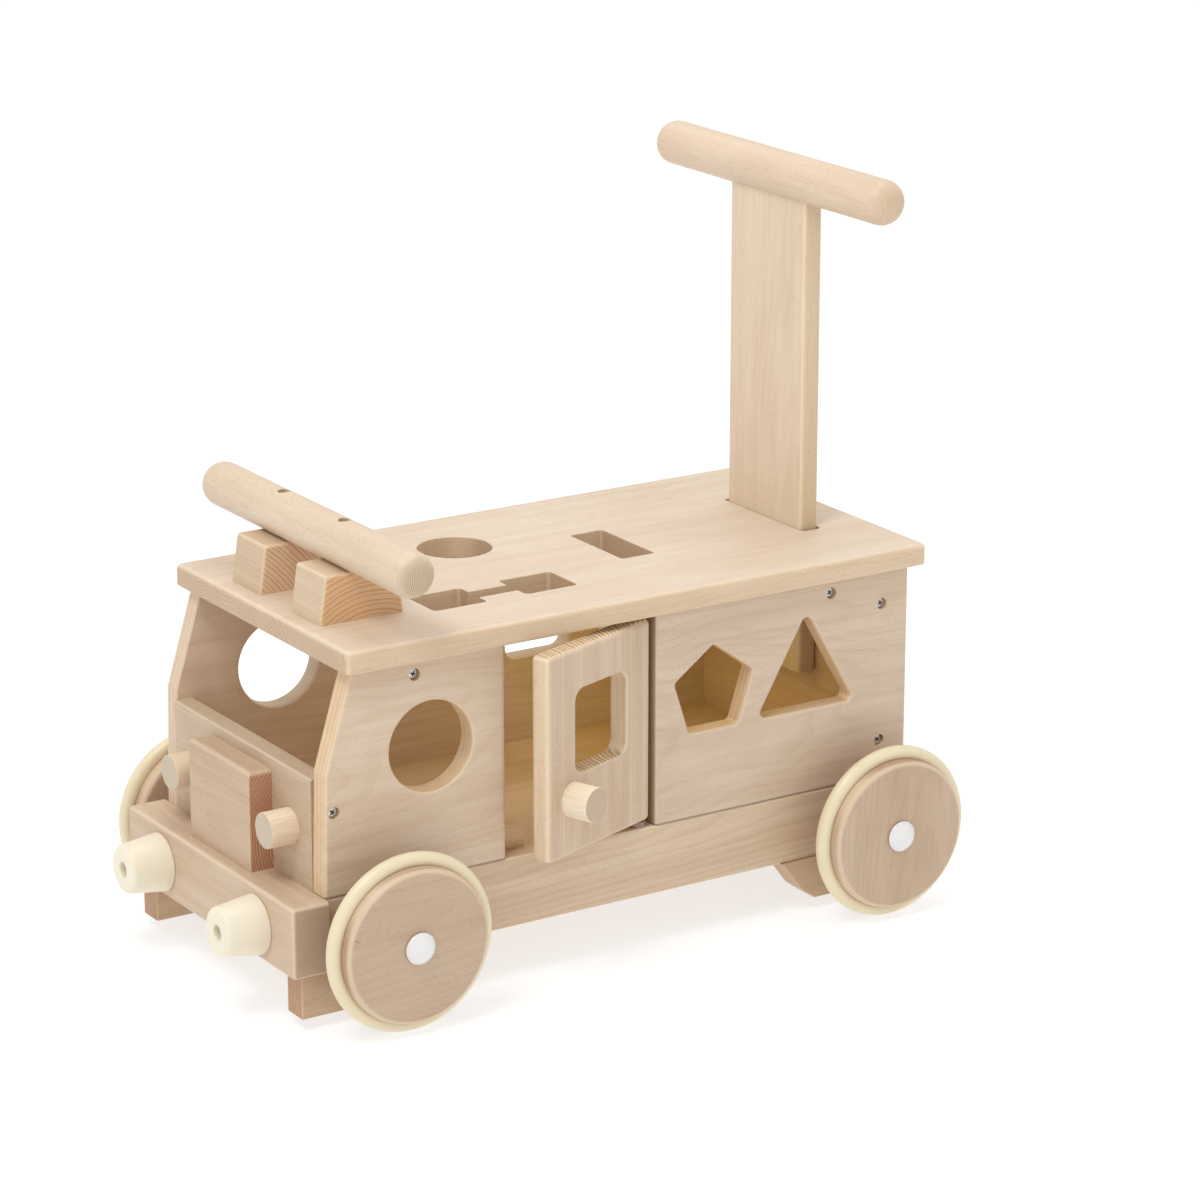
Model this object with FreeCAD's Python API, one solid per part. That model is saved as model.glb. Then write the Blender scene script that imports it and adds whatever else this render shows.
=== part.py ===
"""Wooden push-and-ride bus: a baby walker built as separate pieces.

Millimetres. +Z is up, the floor is Z = 0, the grille and buffers face -Y, and the door is on
the +X side. The origin is on the floor, midway along and across the space the walker takes up.
"""
import FreeCAD
import Part
import math
import os

V = FreeCAD.Vector

# ---------------------------------------------------------------- driving dimensions
OVERALL_LENGTH = 524.0          # buffer tips to the back of the rear tyres

BOARD = 15.0                    # solid board and plywood used for the body
BODY_WIDTH = 214.0              # over the two side panels
BODY_FRONT = -207.5
BODY_REAR = 241.0

BEAM_BOTTOM = 36.5
BEAM_TOP = 84.0
FLOOR_BOTTOM = 69.0
FLOOR_TOP = 81.0
ROOF_BOTTOM = 229.5
ROOF_LENGTH = 443.0
ROOF_WIDTH = 229.0
ROOF_FRONT = -193.0

NOSE_KINK_Y = -205.5            # the side panels stand upright to here, then lean back
NOSE_KINK_Z = 164.5
NOSE_TOP_Y = -186.0

DOORWAY_FRONT = -74.5
DOORWAY_REAR = 38.5
DOOR_PIN_X = 99.5
DOOR_PIN_Y = 29.0
DOOR_BOTTOM = 88.0
DOOR_TOP = 225.5
DOOR_REACH = 101.5              # pin to free edge
DOOR_HEEL = 6.5                 # pin to hinged edge
DOOR_OPEN_DEG = 20.0            # how far the door stands open in the rest pose

FRONT_AXLE_Y = -167.0
REAR_AXLE_Y = 203.0
AXLE_R = 4.0
TYRE_R = 59.0
TYRE_CORD_R = 5.0
DISC_R = 51.0
WHEEL_X = 142.0                 # centre plane of a wheel
WHEEL_WIDTH = 26.0
HUB_CAP_R = 10.6

BUMPER_WIDTH = 226.0
BUMPER_FRONT = -233.5
BUFFER_X = 65.5
BUFFER_Z = 59.5
BUFFER_BASE_R = 19.7
BUFFER_TIP_R = 16.2

GRILLE_WIDTH = 82.0
GRILLE_TOP = 150.5
GRILLE_FRONT = -224.0
LAMP_X = 64.5
LAMP_Z = 120.0
LAMP_R = 11.8
LAMP_FRONT = -226.5
FRONT_PANEL_TOP = 158.5

DOWEL_R = 15.0                  # both handle bars
FRONT_BAR_Y = -151.0
FRONT_BAR_Z = 290.0
FRONT_BAR_LENGTH = 266.0
SUPPORT_X = 39.5                # middle of each support block
SUPPORT_WIDTH = 38.5
SUPPORT_TOP = 276.5

POST_WIDTH = 87.0
POST_FRONT = 196.5
POST_REAR = 211.5
POST_BOTTOM = 143.0
POST_TOP = 478.0
GRIP_Z = 481.0
GRIP_LENGTH = 260.0
REAR_WALL_REAR = 226.5

GUARD_INNER_X = 90.0
GUARD_OUTER_X = 109.0
GUARD_BOTTOM = 7.5

BATTEN = 20.0
FRONT_BATTEN_Y = -150.5
REAR_BATTEN_Y = 167.5

SCREW_R = 1.75                  # panel screws
SCREW_HEAD_R = 3.5
COUNTERBORE_R = 4.0
LONG_SCREW_R = 2.0              # handle and buffer screws
LONG_HEAD_R = 3.6

# ---------------------------------------------------------------- derived places
HALF_BODY = BODY_WIDTH / 2
INNER_X = HALF_BODY - BOARD
ROOF_TOP = ROOF_BOTTOM + BOARD
ROOF_REAR = ROOF_FRONT + ROOF_LENGTH
BUFFER_TIP_Y = -OVERALL_LENGTH / 2
AXLE_Z = TYRE_R
POST_Y = (POST_FRONT + POST_REAR) / 2
WALL_MID_Y = (POST_REAR + REAR_WALL_REAR) / 2
SIDES = (("left", 1), ("right", -1))


# ---------------------------------------------------------------- small tools
def block(x0, x1, y0, y1, z0, z1):
    """A square-edged block between two corners."""
    low = V(min(x0, x1), min(y0, y1), min(z0, z1))
    return Part.makeBox(abs(x1 - x0), abs(y1 - y0), abs(z1 - z0), low)


def rod(start, end, radius):
    """A round rod between two points."""
    way = end.sub(start)
    return Part.makeCylinder(radius, way.Length, start, way)


def side_board(outline, x0, x1):
    """A board standing lengthwise, from its (y, z) outline."""
    points = [V(x0, y, z) for y, z in outline]
    face = Part.Face(Part.makePolygon(points + points[:1]))
    return face.extrude(V(x1 - x0, 0, 0))


def softened(solid, radius, wanted):
    """The solid with the chosen edges rounded. wanted(middle, direction) picks an edge."""
    chosen = []
    for edge in solid.Edges:
        middle = edge.valueAt((edge.FirstParameter + edge.LastParameter) / 2)
        way = edge.tangentAt((edge.FirstParameter + edge.LastParameter) / 2)
        if wanted(middle, way):
            chosen.append(edge)
    return solid.makeFillet(radius, chosen)


def close_to(value, target):
    return abs(value - target) < 0.01


def regular_polygon(count, y, z, reach, turn):
    """Corner points (y, z) of a regular polygon, turn degrees from straight up."""
    corners = []
    for i in range(count):
        a = math.radians(90 + turn + 360 * i / count)
        corners.append((y + reach * math.cos(a), z + reach * math.sin(a)))
    return corners


def sideways_cutter(outline, corner_r, x0, x1):
    """A prism running across the body, with its long edges rounded."""
    prism = side_board(outline, x0, x1)
    return softened(prism, corner_r, lambda middle, way: abs(way.x) > 0.99)


def upright_cutter(x0, x1, y0, y1, corner_r):
    """An upright prism through the roof, with its corners rounded."""
    prism = block(x0, x1, y0, y1, ROOF_BOTTOM - 5, ROOF_TOP + 5)
    return softened(prism, corner_r, lambda middle, way: abs(way.z) > 0.99)


def screw(head_top, way, length, radius, head_r):
    """A cross-head screw: head_top is the middle of its head, way points along the shank."""
    way = V(way)
    way.normalize()
    head_end = head_top.add(way * 2.0)
    head = softened(
        rod(head_top, head_end, head_r), 0.7,
        lambda middle, tangent: abs(middle.sub(head_top).dot(way)) < 0.01)
    shank = rod(head_end, head_top.add(way * length), radius)
    solid = head.fuse(shank)
    across = V(0, 0, 1) if abs(way.z) < 0.5 else V(1, 0, 0)
    for slot_way in (across, way.cross(across)):
        side = way.cross(slot_way)
        start = head_top.sub(slot_way * 1.8).sub(side * 0.4).sub(way * 0.5)
        corners = [
            start,
            start.add(slot_way * 3.6),
            start.add(slot_way * 3.6).add(side * 0.8),
            start.add(side * 0.8),
        ]
        slot = Part.Face(Part.makePolygon(corners + corners[:1])).extrude(way * 1.7)
        solid = solid.cut(slot)
    return solid


def mirrored(solid):
    """The same piece for the other side of the walker."""
    return solid.mirror(V(0, 0, 0), V(1, 0, 0))


def group(solids):
    return Part.makeCompound(solids)


# ---------------------------------------------------------------- chassis
def make_axle_line(y, radius, half_length):
    return rod(V(-half_length, y, AXLE_Z), V(half_length, y, AXLE_Z), radius)


def make_beam():
    beam = block(INNER_X, HALF_BODY, BODY_FRONT, BODY_REAR, BEAM_BOTTOM, BEAM_TOP)
    for radius, height in ((2.5, BEAM_TOP), (1.5, BEAM_BOTTOM)):
        beam = softened(
            beam, radius, lambda middle, way: abs(way.y) > 0.99
            and close_to(middle.x, HALF_BODY) and close_to(middle.z, height))
    for y in (FRONT_AXLE_Y, REAR_AXLE_Y):
        beam = beam.cut(make_axle_line(y, AXLE_R, 200))
    return beam


def make_bumper():
    bumper = block(
        -BUMPER_WIDTH / 2, BUMPER_WIDTH / 2, BUMPER_FRONT, BODY_FRONT, BEAM_BOTTOM, BEAM_TOP)
    bumper = softened(bumper, 3.0, lambda middle, way: middle.y < BODY_FRONT - 1)
    for x in (-BUFFER_X, BUFFER_X):
        bumper = bumper.cut(rod(V(x, -300, BUFFER_Z), V(x, 0, BUFFER_Z), LONG_SCREW_R))
    return bumper


def make_cross_rail(y0, y1):
    return block(-INNER_X, INNER_X, y0, y1, BEAM_BOTTOM, FLOOR_BOTTOM)


def make_front_rail():
    rail = make_cross_rail(BODY_FRONT, BODY_FRONT + BATTEN)
    for x in (-BUFFER_X, BUFFER_X):
        rail = rail.cut(rod(V(x, -300, BUFFER_Z), V(x, BODY_FRONT + 13, BUFFER_Z), LONG_SCREW_R))
    return rail


def make_floor():
    return block(-INNER_X, INNER_X, BODY_FRONT, BODY_REAR, FLOOR_BOTTOM, FLOOR_TOP)


def make_tip_guard(outline):
    guard = side_board(outline, GUARD_INNER_X, GUARD_OUTER_X)
    return softened(guard, 1.2, lambda middle, way: middle.z < BEAM_BOTTOM - 1)


FRONT_GUARD = [(-226.0, BEAM_BOTTOM), (-226.0, GUARD_BOTTOM), (-137.0, GUARD_BOTTOM),
               (-125.5, 16.0), (-110.0, BEAM_BOTTOM)]
REAR_GUARD = [(139.5, BEAM_BOTTOM), (155.0, 16.0), (166.5, GUARD_BOTTOM),
              (BODY_REAR, GUARD_BOTTOM), (BODY_REAR, BEAM_BOTTOM)]


def make_buffer(side):
    x = side * BUFFER_X
    length = BUMPER_FRONT - BUFFER_TIP_Y
    cone = Part.makeCone(
        BUFFER_BASE_R, BUFFER_TIP_R, length, V(x, BUMPER_FRONT, BUFFER_Z), V(0, -1, 0))
    cone = softened(cone, 3.5, lambda middle, way: close_to(middle.y, BUFFER_TIP_Y))
    cone = cone.cut(rod(V(x, -300, BUFFER_Z), V(x, BUFFER_TIP_Y + 13, BUFFER_Z), 5.0))
    return cone.cut(rod(V(x, -300, BUFFER_Z), V(x, 0, BUFFER_Z), LONG_SCREW_R))


def make_buffer_screws():
    way = V(0, 1, 0)
    length = BODY_FRONT + 13 - (BUFFER_TIP_Y + 11)
    return group([
        screw(V(x, BUFFER_TIP_Y + 11, BUFFER_Z), way, length, LONG_SCREW_R, LONG_HEAD_R)
        for x in (-BUFFER_X, BUFFER_X)])


# ---------------------------------------------------------------- body panels
def panel_screw_points():
    """Where the screws go through a side panel: (y, z)."""
    front_mid = BODY_FRONT + 7.0
    return [
        (FRONT_BATTEN_Y + BATTEN / 2, ROOF_BOTTOM - BATTEN / 2),
        (front_mid + 1.0, 139.5),
        (REAR_BATTEN_Y + BATTEN / 2, ROOF_BOTTOM - BATTEN / 2),
        (WALL_MID_Y, 205.5),
        (WALL_MID_Y, 109.5),
    ]


def drill_panel(panel):
    """Counterbored screw holes through a door-side panel."""
    for y, z in panel_screw_points():
        panel = panel.cut(rod(V(0, y, z), V(200, y, z), SCREW_R))
        panel = panel.cut(rod(V(HALF_BODY - 4, y, z), V(200, y, z), COUNTERBORE_R))
    return panel


def drill_edges(piece):
    """Pilot holes, from both ends, in a piece that is screwed between the side panels."""
    for y, z in panel_screw_points():
        for side in (-1, 1):
            start = V(side * (INNER_X + 10), y, z)
            end = V(side * (HALF_BODY - 36), y, z)
            piece = piece.cut(rod(start, end, SCREW_R))
    return piece


def make_side_screws(side):
    way = V(-side, 0, 0)
    return group([
        screw(V(side * (HALF_BODY - 2.0), y, z), way, 34.0, SCREW_R, SCREW_HEAD_R)
        for y, z in panel_screw_points()])


NOSE = [(BODY_FRONT, BEAM_TOP), (NOSE_KINK_Y, NOSE_KINK_Z), (NOSE_TOP_Y, ROOF_BOTTOM)]


def porthole():
    y, z = -129.0, 170.2
    return rod(V(0, y, z), V(200, y, z), 30.0)


def soften_panel(panel, hole_outside, hole_inside):
    """Round the outside edges of a panel and the rims of its holes on both faces."""
    def outside_edge(middle, way):
        at_side = close_to(middle.x, HALF_BODY) or close_to(middle.x, INNER_X)
        upright = (middle.y < NOSE_TOP_Y + 1 or close_to(middle.y, DOORWAY_FRONT)
                   or close_to(middle.y, DOORWAY_REAR) or close_to(middle.y, BODY_REAR))
        return at_side and upright

    def hole_edge(middle, way):
        at_side = close_to(middle.x, HALF_BODY) or close_to(middle.x, INNER_X)
        inside = BEAM_TOP + 30 < middle.z < ROOF_BOTTOM - 15
        ends = (BODY_FRONT + 30 < middle.y < DOORWAY_FRONT - 10
                or DOORWAY_FRONT + 10 < middle.y < DOORWAY_REAR - 10
                or DOORWAY_REAR + 10 < middle.y < BODY_REAR - 10)
        return at_side and inside and ends

    panel = softened(
        panel, hole_inside, lambda middle, way: hole_edge(middle, way) and middle.x < INNER_X + 1)
    panel = softened(
        panel, hole_outside, lambda middle, way: hole_edge(middle, way) and middle.x > HALF_BODY - 1)
    panel = softened(
        panel, 1.0, lambda middle, way: outside_edge(middle, way) and middle.x < INNER_X + 1)
    return softened(
        panel, 3.0, lambda middle, way: outside_edge(middle, way) and middle.x > HALF_BODY - 1)


def make_door_side_front():
    outline = NOSE + [(DOORWAY_FRONT, ROOF_BOTTOM), (DOORWAY_FRONT, BEAM_TOP)]
    panel = side_board(outline, INNER_X, HALF_BODY).cut(porthole())
    return drill_panel(soften_panel(panel, 2.3, 0.8))


def make_door_side_rear():
    panel = block(INNER_X, HALF_BODY, DOORWAY_REAR, BODY_REAR, BEAM_TOP, ROOF_BOTTOM)
    pentagon = regular_polygon(5, 85.0, 168.0, 32.0, 0)
    triangle = regular_polygon(3, 158.8, 164.5, 45.0, 0)
    panel = panel.cut(sideways_cutter(pentagon, 3.0, 0, 200))
    panel = panel.cut(sideways_cutter(triangle, 4.0, 0, 200))
    return drill_panel(soften_panel(panel, 3.0, 3.0))


def make_closed_side():
    outline = NOSE + [(BODY_REAR, ROOF_BOTTOM), (BODY_REAR, BEAM_TOP)]
    panel = side_board(outline, INNER_X, HALF_BODY).cut(porthole())
    for y in (-17.5, 72.5):
        window = [(y - 25.5, 141.5), (y + 25.5, 141.5), (y + 25.5, 196.0), (y - 25.5, 196.0)]
        panel = panel.cut(sideways_cutter(window, 8.0, 0, 200))
    lean = 10.0
    rhomb = [(132.0 - lean, 147.0), (174.0 - lean, 147.0), (174.0 + lean, 189.0),
             (132.0 + lean, 189.0)]
    panel = panel.cut(sideways_cutter(rhomb, 3.0, 0, 200))
    return mirrored(drill_panel(soften_panel(panel, 2.0, 2.0)))


def make_front_panel():
    rear = BODY_FRONT + 14.0
    panel = block(-INNER_X, INNER_X, BODY_FRONT, rear, FLOOR_TOP, FRONT_PANEL_TOP)
    panel = softened(
        panel, 2.0, lambda middle, way: abs(way.x) > 0.99 and middle.z > FRONT_PANEL_TOP - 1)
    return drill_edges(panel)


def post_screw_points():
    return [(x, z) for x in (-25.0, 25.0) for z in (160.0, 210.0)]


def make_rear_wall():
    wall = block(-INNER_X, INNER_X, POST_REAR, REAR_WALL_REAR, FLOOR_TOP, ROOF_BOTTOM)
    for x, z in post_screw_points():
        wall = wall.cut(rod(V(x, 0, z), V(x, 300, z), SCREW_R))
        wall = wall.cut(rod(V(x, REAR_WALL_REAR - 4, z), V(x, 300, z), COUNTERBORE_R))
    return drill_edges(wall)


def make_batten(y):
    return drill_edges(
        block(-INNER_X, INNER_X, y, y + BATTEN, ROOF_BOTTOM - BATTEN, ROOF_BOTTOM))


def make_roof():
    roof = block(
        -ROOF_WIDTH / 2, ROOF_WIDTH / 2, ROOF_FRONT, ROOF_REAR, ROOF_BOTTOM, ROOF_TOP)
    roof = softened(roof, 4.2, lambda middle, way: abs(way.z) > 0.99)
    roof = softened(roof, 4.0, lambda middle, way: close_to(middle.z, ROOF_TOP))
    roof = softened(roof, 1.5, lambda middle, way: close_to(middle.z, ROOF_BOTTOM))
    disc_hole = rod(V(-46.5, -20.0, ROOF_BOTTOM - 5), V(-46.5, -20.0, ROOF_TOP + 5), 25.0)
    bar_hole = upright_cutter(-29.5, 35.5, 59.5, 85.0, 2.0)
    bone_hole = block(44.0, 58.0, -70.0, -28.0, ROOF_BOTTOM - 5, ROOF_TOP + 5)
    for y0 in (-103.0, -35.0):
        bone_hole = bone_hole.fuse(upright_cutter(33.5, 68.5, y0, y0 + 39.0, 3.0))
    post_slot = upright_cutter(
        -POST_WIDTH / 2 - 3.5, POST_WIDTH / 2 + 3.5, POST_FRONT - 0.3, POST_REAR + 0.3, 3.0)
    for cutter in (disc_hole, bar_hole, bone_hole, post_slot):
        roof = roof.cut(cutter)
    roof = softened(
        roof, 1.0,
        lambda middle, way: close_to(middle.z, ROOF_TOP) and abs(middle.x) < 80
        and ROOF_FRONT + 40 < middle.y < ROOF_REAR - 30)
    pin = V(DOOR_PIN_X, DOOR_PIN_Y, 0)
    roof = roof.cut(rod(pin.add(V(0, 0, ROOF_BOTTOM - 5)), pin.add(V(0, 0, 238.0)), 2.55))
    for x in (-SUPPORT_X, SUPPORT_X):
        roof = roof.cut(rod(V(x, FRONT_BAR_Y, 232.0), V(x, FRONT_BAR_Y, 300.0), LONG_SCREW_R))
    return roof


# ---------------------------------------------------------------- nose trim
def make_grille():
    half = GRILLE_WIDTH / 2
    grille = block(-half, half, GRILLE_FRONT, BODY_FRONT, BEAM_TOP, GRILLE_TOP)
    grille = softened(
        grille, 4.0,
        lambda middle, way: close_to(middle.z, GRILLE_TOP) and middle.y < BODY_FRONT - 1)
    return softened(
        grille, 1.0,
        lambda middle, way: middle.y < BODY_FRONT - 1 and middle.z > BEAM_TOP + 1)


def make_headlamp(side):
    x = side * LAMP_X
    lamp = rod(V(x, BODY_FRONT, LAMP_Z), V(x, LAMP_FRONT, LAMP_Z), LAMP_R)
    return softened(lamp, 0.8, lambda middle, way: close_to(middle.y, LAMP_FRONT))


# ---------------------------------------------------------------- handles
def domed_bar(y, z, length):
    """A dowel across the walker with domed ends."""
    half = length / 2
    bar = rod(V(-half, y, z), V(half, y, z), DOWEL_R)
    return softened(bar, 11.5, lambda middle, way: close_to(abs(middle.x), half))


def make_front_bar():
    bar = domed_bar(FRONT_BAR_Y, FRONT_BAR_Z, FRONT_BAR_LENGTH)
    top = FRONT_BAR_Z + DOWEL_R
    for x in (-SUPPORT_X, SUPPORT_X):
        bar = bar.cut(rod(V(x, FRONT_BAR_Y, 200), V(x, FRONT_BAR_Y, 400), LONG_SCREW_R))
        bar = bar.cut(rod(V(x, FRONT_BAR_Y, top - 6), V(x, FRONT_BAR_Y, 400), 4.0))
    return bar


def make_support(side):
    front = [(-180.5, ROOF_TOP), (-176.0, SUPPORT_TOP)]
    rear = [(-124.0, SUPPORT_TOP), (-119.5, ROOF_TOP)]
    x = side * SUPPORT_X
    support = side_board(front + rear, x - SUPPORT_WIDTH / 2, x + SUPPORT_WIDTH / 2)
    support = softened(support, 2.5, lambda middle, way: middle.z > ROOF_TOP + 1)
    support = support.cut(
        rod(V(-200, FRONT_BAR_Y, FRONT_BAR_Z), V(200, FRONT_BAR_Y, FRONT_BAR_Z), DOWEL_R))
    return support.cut(rod(V(x, FRONT_BAR_Y, 200), V(x, FRONT_BAR_Y, 400), LONG_SCREW_R))


def make_front_bar_screws():
    top = FRONT_BAR_Z + DOWEL_R - 4
    return group([
        screw(V(x, FRONT_BAR_Y, top), V(0, 0, -1), top - 232.0, LONG_SCREW_R, LONG_HEAD_R)
        for x in (-SUPPORT_X, SUPPORT_X)])


def make_post():
    half = POST_WIDTH / 2
    post = block(-half, half, POST_FRONT, POST_REAR, POST_BOTTOM, POST_TOP)
    post = softened(post, 3.5, lambda middle, way: abs(way.z) > 0.99)
    for x, z in post_screw_points():
        post = post.cut(rod(V(x, POST_REAR - 10, z), V(x, 300, z), SCREW_R))
    return post


def make_grip(post):
    return domed_bar(POST_Y, GRIP_Z, GRIP_LENGTH).cut(post)


def make_post_screws():
    way = V(0, -1, 0)
    length = REAR_WALL_REAR - 2 - (POST_REAR - 10)
    return group([
        screw(V(x, REAR_WALL_REAR - 2, z), way, length, SCREW_R, SCREW_HEAD_R)
        for x, z in post_screw_points()])


# ---------------------------------------------------------------- door
def swung_open(piece):
    """Turn a piece made for the shut door to where the door stands at rest."""
    turned = piece.copy()
    turned.rotate(V(DOOR_PIN_X, DOOR_PIN_Y, 0), V(0, 0, 1), DOOR_OPEN_DEG)
    return turned


def make_door():
    free = DOOR_PIN_Y - DOOR_REACH
    heel = DOOR_PIN_Y + DOOR_HEEL
    inner = DOOR_PIN_X - BOARD / 2
    outer = DOOR_PIN_X + BOARD / 2
    door = block(inner, outer, free, heel, DOOR_BOTTOM, DOOR_TOP)
    door = softened(
        door, 5.5, lambda middle, way: abs(way.z) > 0.99 and close_to(middle.y, heel))
    door = softened(
        door, 4.5, lambda middle, way: abs(way.z) > 0.99 and close_to(middle.y, free))
    window = [(DOOR_PIN_Y - 73.0, 141.0), (DOOR_PIN_Y - 19.5, 141.0),
              (DOOR_PIN_Y - 19.5, 197.0), (DOOR_PIN_Y - 73.0, 197.0)]
    door = door.cut(sideways_cutter(window, 8.0, 0, 200))
    door = softened(
        door, 2.5,
        lambda middle, way: 130 < middle.z < 210 and abs(way.x) < 0.1
        and free + 10 < middle.y < heel - 10)
    door = softened(
        door, 4.0, lambda middle, way: abs(way.z) < 0.1
        and (close_to(middle.z, DOOR_BOTTOM) or close_to(middle.z, DOOR_TOP)))
    pin_line = rod(V(DOOR_PIN_X, DOOR_PIN_Y, 0), V(DOOR_PIN_X, DOOR_PIN_Y, 108.0), 2.5)
    top_line = rod(V(DOOR_PIN_X, DOOR_PIN_Y, 204.0), V(DOOR_PIN_X, DOOR_PIN_Y, 300.0), 2.5)
    return swung_open(door.cut(pin_line).cut(top_line))


def make_knob():
    y = DOOR_PIN_Y - 77.5
    face = DOOR_PIN_X + BOARD / 2
    tip = face + 19.5
    knob = rod(V(face, y, 126.0), V(tip, y, 126.0), 11.5)
    knob = softened(knob, 1.0, lambda middle, way: close_to(middle.x, tip))
    return swung_open(knob)


def make_door_pins():
    foot = rod(V(DOOR_PIN_X, DOOR_PIN_Y, 71.0), V(DOOR_PIN_X, DOOR_PIN_Y, 108.0), 2.5)
    head = rod(V(DOOR_PIN_X, DOOR_PIN_Y, 204.0), V(DOOR_PIN_X, DOOR_PIN_Y, 237.0), 2.5)
    return group([foot, head])


def make_door_washer():
    ring = rod(V(DOOR_PIN_X, DOOR_PIN_Y, BEAM_TOP), V(DOOR_PIN_X, DOOR_PIN_Y, 87.6), 6.0)
    return ring.cut(rod(V(DOOR_PIN_X, DOOR_PIN_Y, 0), V(DOOR_PIN_X, DOOR_PIN_Y, 200), 2.55))


def make_door_stop():
    """The block on the floor that the shut door's free edge rests against."""
    touch = INNER_X - 0.2
    stop = block(touch - BOARD, touch, -96.0, -52.0, FLOOR_TOP, 99.5)
    return softened(stop, 2.0, lambda middle, way: middle.z > 98.0)


def bore_for_pin(beam):
    return beam.cut(
        rod(V(DOOR_PIN_X, DOOR_PIN_Y, 70.0), V(DOOR_PIN_X, DOOR_PIN_Y, 200.0), 2.55))


# ---------------------------------------------------------------- wheels
def make_axle(y):
    return make_axle_line(y, AXLE_R, WHEEL_X + WHEEL_WIDTH / 2 + 4.0)


def make_spacers():
    """Sleeves that hold the four wheels clear of the beams."""
    sleeves = []
    for y in (FRONT_AXLE_Y, REAR_AXLE_Y):
        for side in (-1, 1):
            start = V(side * HALF_BODY, y, AXLE_Z)
            end = V(side * (WHEEL_X - WHEEL_WIDTH / 2 - 0.5), y, AXLE_Z)
            sleeves.append(rod(start, end, 8.0).cut(rod(start, end, AXLE_R)))
    return group(sleeves)


def tyre_ring(side, y):
    ring_r = TYRE_R - TYRE_CORD_R
    return Part.makeTorus(ring_r, TYRE_CORD_R, V(side * WHEEL_X, y, AXLE_Z), V(1, 0, 0))


def make_disc(side, y):
    half = WHEEL_WIDTH / 2
    middle_x = side * WHEEL_X
    disc = rod(V(middle_x - half, y, AXLE_Z), V(middle_x + half, y, AXLE_Z), DISC_R)
    disc = softened(disc, 4.5, lambda middle, way: close_to(abs(middle.x - middle_x), half))
    bore = rod(V(middle_x - 20, y, AXLE_Z), V(middle_x + 20, y, AXLE_Z), AXLE_R + 0.06)
    return disc.cut(tyre_ring(side, y)).cut(bore)


def make_hub_cap(side, y):
    base = side * (WHEEL_X + WHEEL_WIDTH / 2 + 0.4)
    dome_r = (HUB_CAP_R ** 2 + 5.2 ** 2) / (2 * 5.2)
    ball = Part.makeSphere(dome_r, V(base + side * (6.2 - dome_r), y, AXLE_Z))
    rim = rod(V(base, y, AXLE_Z), V(base + side * 8, y, AXLE_Z), HUB_CAP_R)
    cap = ball.common(rim)
    socket = rod(V(0, y, AXLE_Z), V(base + side * 3.6, y, AXLE_Z), AXLE_R)
    return cap.cut(socket)


# ---------------------------------------------------------------- all the pieces
def make_pieces():
    pieces = {}
    beam = make_beam()
    pieces["chassis_beam_left"] = bore_for_pin(beam)
    pieces["chassis_beam_right"] = mirrored(beam)
    pieces["front_bumper"] = make_bumper()
    pieces["front_cross_rail"] = make_front_rail()
    pieces["rear_cross_rail"] = make_cross_rail(BODY_REAR - BATTEN, BODY_REAR)
    pieces["floor_board"] = make_floor()
    pieces["buffer_screws"] = make_buffer_screws()

    pieces["door_side_front"] = make_door_side_front()
    pieces["door_side_rear"] = make_door_side_rear()
    pieces["closed_side"] = make_closed_side()
    pieces["front_panel"] = make_front_panel()
    pieces["rear_wall"] = make_rear_wall()
    pieces["front_batten"] = make_batten(FRONT_BATTEN_Y)
    pieces["rear_batten"] = make_batten(REAR_BATTEN_Y)
    pieces["roof_board"] = make_roof()
    pieces["grille_block"] = make_grille()

    pieces["front_handle_bar"] = make_front_bar()
    pieces["front_handle_screws"] = make_front_bar_screws()
    post = make_post()
    pieces["push_post"] = post
    pieces["push_grip"] = make_grip(post)
    pieces["post_screws"] = make_post_screws()

    pieces["door_panel"] = make_door()
    pieces["door_knob"] = make_knob()
    pieces["door_pins"] = swung_open(make_door_pins())
    pieces["door_washer"] = make_door_washer()
    pieces["door_stop_block"] = make_door_stop()

    for side_name, side in SIDES:
        pieces["headlamp_" + side_name] = make_headlamp(side)
        pieces["buffer_" + side_name] = make_buffer(side)
        pieces["side_screws_" + side_name] = make_side_screws(side)
        pieces["handle_support_" + side_name] = make_support(side)
        for end_name, outline in (("front", FRONT_GUARD), ("rear", REAR_GUARD)):
            guard = make_tip_guard(outline)
            pieces["tip_guard_" + end_name + "_" + side_name] = (
                guard if side > 0 else mirrored(guard))

    pieces["axle_spacers"] = make_spacers()
    for end_name, y in (("front", FRONT_AXLE_Y), ("rear", REAR_AXLE_Y)):
        pieces["axle_" + end_name] = make_axle(y)
        for side_name, side in SIDES:
            tail = end_name + "_" + side_name
            pieces["wheel_disc_" + tail] = make_disc(side, y)
            pieces["tyre_" + tail] = tyre_ring(side, y)
            pieces["hub_cap_" + tail] = make_hub_cap(side, y)
    return pieces


os.makedirs("parts", exist_ok=True)
for name, shape in make_pieces().items():
    shape.exportStep("parts/" + name + ".step")
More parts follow.
